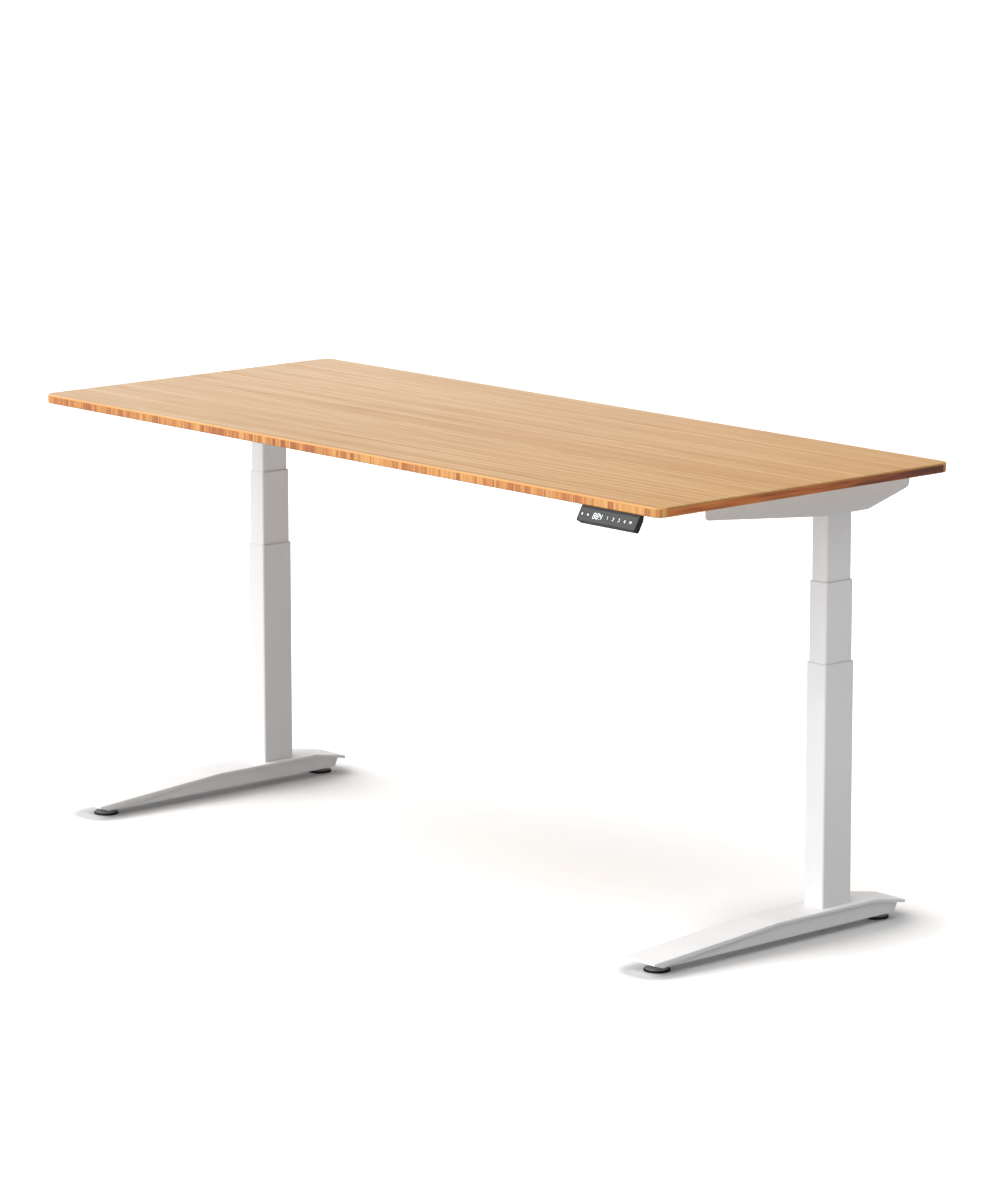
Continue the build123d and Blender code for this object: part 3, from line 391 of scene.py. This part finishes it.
def key_front(name):
    """Middle of the front of a key's cap."""
    points = [v.co for v in nodes[name].data.vertices]
    level = max(p.dot(FACE_OUT) for p in points)
    rim = [p for p in points if level - p.dot(FACE_OUT) < 1e-5]
    spans = [[p.dot(axis) for p in rim] for axis in (FACE_ALONG, FACE_UP)]
    across, height = ((min(span) + max(span)) / 2 for span in spans)
    return FACE_ALONG * across + FACE_UP * height + FACE_OUT * level


def on_face(name, outlines, middle, material, body):
    """Thin raised print on the face: outlines in millimetres about a middle, moving with a body."""
    verts, faces = [], []
    for outline in outlines:
        count, start = len(outline), len(verts)
        flat = [middle + FACE_ALONG * a / 1000 + FACE_UP * b / 1000 for a, b in outline]
        for height in (PRINT_LOW, PRINT_HIGH):
            verts += [point + FACE_OUT * height for point in flat]
        faces.append(tuple(start + count + i for i in range(count)))
        for i in range(count):
            after = (i + 1) % count
            faces.append((start + i, start + after, start + count + after, start + count + i))
    mesh = bpy.data.meshes.new(name)
    mesh.from_pydata(verts, [], faces)
    mesh.materials.append(material)
    piece = bpy.data.objects.new(name, mesh)
    scene.collection.objects.link(piece)
    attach(piece, body)


def bar(start, end, thick, gap=0.0):
    """A straight stroke with pointed ends."""
    (x0, y0), (x1, y1) = start, end
    length = math.hypot(x1 - x0, y1 - y0)
    u, v = (x1 - x0) / length, (y1 - y0) / length
    half = thick / 2
    places = ((gap, 0), (gap + half, -half), (length - gap - half, -half), (length - gap, 0),
              (length - gap - half, half), (gap + half, half))
    return [(x0 + u * s - v * t, y0 + v * s + u * t) for s, t in places]


def strokes(*points):
    """A line of strokes through some points, each a little longer than its span so that they join."""
    return [bar(a, b, SYMBOL_STROKE, -SYMBOL_STROKE / 2.6) for a, b in zip(points, points[1:])]


def seven_segment(lit, shift):
    """One digit of a segment display, leaning to the right."""
    half = DIGIT_H / 2
    ends = {
        "a": ((0, DIGIT_H), (DIGIT_W, DIGIT_H)),
        "b": ((DIGIT_W, DIGIT_H), (DIGIT_W, half)),
        "c": ((DIGIT_W, half), (DIGIT_W, 0)),
        "d": ((0, 0), (DIGIT_W, 0)),
        "e": ((0, half), (0, 0)),
        "f": ((0, DIGIT_H), (0, half)),
        "g": ((0, half), (DIGIT_W, half)),
    }
    outlines = [bar(*ends[letter], DIGIT_STROKE, 0.12) for letter in lit]
    return [[(x + shift + DIGIT_LEAN * (y - half), y - half) for x, y in outline] for outline in outlines]


def handset_symbols():
    """Arrows, numbers and the memory letter on the keys, and the lit height in centimetres between them."""
    # painted glow: the printed key symbols glow too, though print gives no light
    print_with_painted_glow = glow("printed_symbol_white", (0.80, 0.82, 0.84), 0.30)
    lit = glow("lit_display_white", (0.80, 0.83, 0.86), 0.45)
    arrow = [(-1.0, -2.6), (1.0, -2.6), (1.0, 0.0), (2.7, 0.0), (0.0, 2.8), (-2.7, 0.0), (-1.0, 0.0)]
    shapes = {
        "key_up": [arrow],
        "key_down": [[(x, -y) for x, y in reversed(arrow)]],
        "key_one": strokes((-1.3, 1.9), (0.4, 3.0), (0.4, -3.0)),
        "key_two": strokes((-1.7, 1.9), (-0.9, 2.9), (0.9, 2.9), (1.7, 1.9), (1.7, 1.0),
                           (-1.7, -2.9), (1.9, -2.9)),
        "key_three": strokes((-1.7, 2.9), (1.6, 2.9), (0.1, 0.6), (1.0, 0.5), (1.8, -0.5), (1.7, -2.0),
                             (0.7, -2.9), (-0.8, -2.9), (-1.7, -2.0)),
        "key_four": strokes((1.0, -3.0), (1.0, 3.0), (-1.9, -1.1), (2.1, -1.1)),
        "key_memory": strokes((-2.1, -2.6), (-2.1, 2.6), (0.0, -0.6), (2.1, 2.6), (2.1, -2.6)),
    }
    for key, outlines in shapes.items():
        on_face(key + "_symbol", outlines, key_front(key), print_with_painted_glow, key)

    middle = (key_front("key_down") + key_front("key_one")) / 2
    digits = []
    for place, letters in enumerate(("abcdefg", "abcdefg", "bcfg")):
        digits += seven_segment(letters, FIRST_DIGIT + DIGIT_STEP * place)
    point = [(POINT_X + x, POINT_Y + y) for x, y in ((-0.8, -0.7), (0.8, -0.7), (0.8, 0.8), (-0.8, 0.8))]
    on_face("height_display", digits + [point], middle, lit, "top")


handset_symbols()


# ---------------------------------------------------------------- studio

# faint light from everywhere, and the brightness of the sky where the camera sees it
SKY_BASE, BACKDROP = 0.055, 0.80

# where each soft light stands, where its glow begins, where it is full, and how bright it is
SKY_LIGHTS = [
    ((-0.10, -0.25, 0.95), 0.40, 1.0, 1.95),
    ((-0.40, -0.90, 0.16), 0.15, 0.95, 1.52),
    ((-0.95, 0.20, 0.20), 0.0, 0.95, 0.36),
]

FLOOR_REACH = 60.0
FLOOR_TONE, FLOOR_LIFT, BOUNCE_TONE, BOUNCE_HEIGHT = 0.86, 0.26, 0.55, -0.0003

# how much of the floor's own tone, and of its lift, is left as the space above it closes up
CONTACT_REACH = 0.28
CONTACT_SHADE = [(0.10, 1.0), (0.45, 0.76), (0.78, 0.62), (0.92, 0.80), (1.0, 1.0)]
CONTACT_LIFT = [(0.05, 1.0), (0.35, 0.3), (0.70, 0.0), (1.0, 1.0)]


def sky():
    """Soft sky that is brightest overhead and in front of the desk, seen as an even pale backdrop."""
    world = bpy.data.worlds.new("studio_sky")
    scene.world = world
    world.use_nodes = True
    tree = world.node_tree
    background = tree.nodes["Background"]
    background.inputs["Color"].default_value = (1.0, 1.0, 1.0, 1.0)
    place = tree.nodes.new("ShaderNodeTexCoord").outputs["Generated"]
    strength = tree.nodes.new("ShaderNodeValue").outputs[0]
    strength.default_value = SKY_BASE
    for direction, start, full, power in SKY_LIGHTS:
        dot = tree.nodes.new("ShaderNodeVectorMath")
        dot.operation = "DOT_PRODUCT"
        tree.links.new(place, dot.inputs[0])
        dot.inputs[1].default_value = direction
        lobe = tree.nodes.new("ShaderNodeMapRange")
        lobe.interpolation_type = "SMOOTHSTEP"
        tree.links.new(dot.outputs["Value"], lobe.inputs["Value"])
        for key, number in (("From Min", start), ("From Max", full), ("To Min", 0.0), ("To Max", power)):
            lobe.inputs[key].default_value = number
        add = tree.nodes.new("ShaderNodeMath")
        tree.links.new(lobe.outputs[0], add.inputs[0])
        tree.links.new(strength, add.inputs[1])
        strength = add.outputs[0]

    seen_sky = tree.nodes.new("ShaderNodeMix")
    tree.links.new(tree.nodes.new("ShaderNodeLightPath").outputs["Is Camera Ray"], seen_sky.inputs["Factor"])
    tree.links.new(strength, seen_sky.inputs["A"])
    seen_sky.inputs["B"].default_value = BACKDROP
    tree.links.new(seen_sky.outputs["Result"], background.inputs["Strength"])


def white_sheet(name, height, tone):
    """A large sheet of white paper at a height, and its material."""
    corners = [(x * FLOOR_REACH, y * FLOOR_REACH, height) for x, y in ((-1, -1), (1, -1), (1, 1), (-1, 1))]
    mesh = bpy.data.meshes.new(name)
    mesh.from_pydata(corners, [], [(0, 1, 2, 3)])
    sheet = bpy.data.objects.new(name, mesh)
    scene.collection.objects.link(sheet)
    paper = Material(name + "_paper")
    tooth = paper.noise(paper.object, scale=300.0, detail=2)
    white = paper.ramp(tooth, [(0.3, grey(tone)), (0.7, grey(tone + 0.01))])
    paper.set(Base_Color=white, Roughness=1.0, Specular_IOR_Level=0.0)
    mesh.materials.append(paper.data)
    return sheet, paper, white


def floor():
    """Over-exposed floor that only the camera sees, over a darker one that bounces light onto the desk."""
    seen, paper, white = white_sheet("studio_floor", 0.0, FLOOR_TONE)
    seen.visible_diffuse = False
    seen.visible_glossy = False
    # close to the feet the paper falls away from over-exposure, as a wide soft contact shadow
    near = paper.add("AmbientOcclusion", {"Distance": CONTACT_REACH}, samples=20).outputs["AO"]
    shade = paper.ramp(near, [(at, grey(share)) for at, share in CONTACT_SHADE])
    paper.set(Base_Color=paper.mix(1.0, white, shade, "MULTIPLY"))
    lift = paper.ramp(near, [(at, grey(share * FLOOR_LIFT)) for at, share in CONTACT_LIFT])
    lifted = paper.add("BsdfDiffuse", {"Color": lift}).outputs[0]
    both = paper.add("AddShader", {0: paper.shader.outputs[0], 1: lifted}).outputs[0]
    # from underneath it is clear, so the desk can be seen from below
    clear = paper.add("BsdfTransparent").outputs[0]
    below = paper.add("NewGeometry").outputs["Backfacing"]
    one_sided = paper.add("MixShader", {0: below, 1: both, 2: clear}).outputs[0]
    paper.feed(paper.tree.nodes["Material Output"].inputs["Surface"], one_sided)

    bounce = white_sheet("studio_bounce", BOUNCE_HEIGHT, BOUNCE_TONE)[0]
    bounce.visible_camera = False


SENSOR, LENS = 36.0, 152.19
CAMERA_X, CAMERA_Y, CAMERA_OVER_DESK = 7.2554, -6.4501, 1.5531
YAW, PITCH = 0.8391, 0.1914


def camera():
    """Long lens from the desk's front right, a little above it."""
    data = bpy.data.cameras.new("camera")
    data.sensor_width = SENSOR
    data.lens = LENS
    view = bpy.data.objects.new("camera", data)
    view.location = (CAMERA_X, CAMERA_Y, DESK_TOP + CAMERA_OVER_DESK)
    view.rotation_euler = (math.pi / 2 - PITCH, 0.0, YAW)
    data.clip_end = 200.0
    scene.collection.objects.link(view)
    scene.camera = view


sky()
floor()
camera()
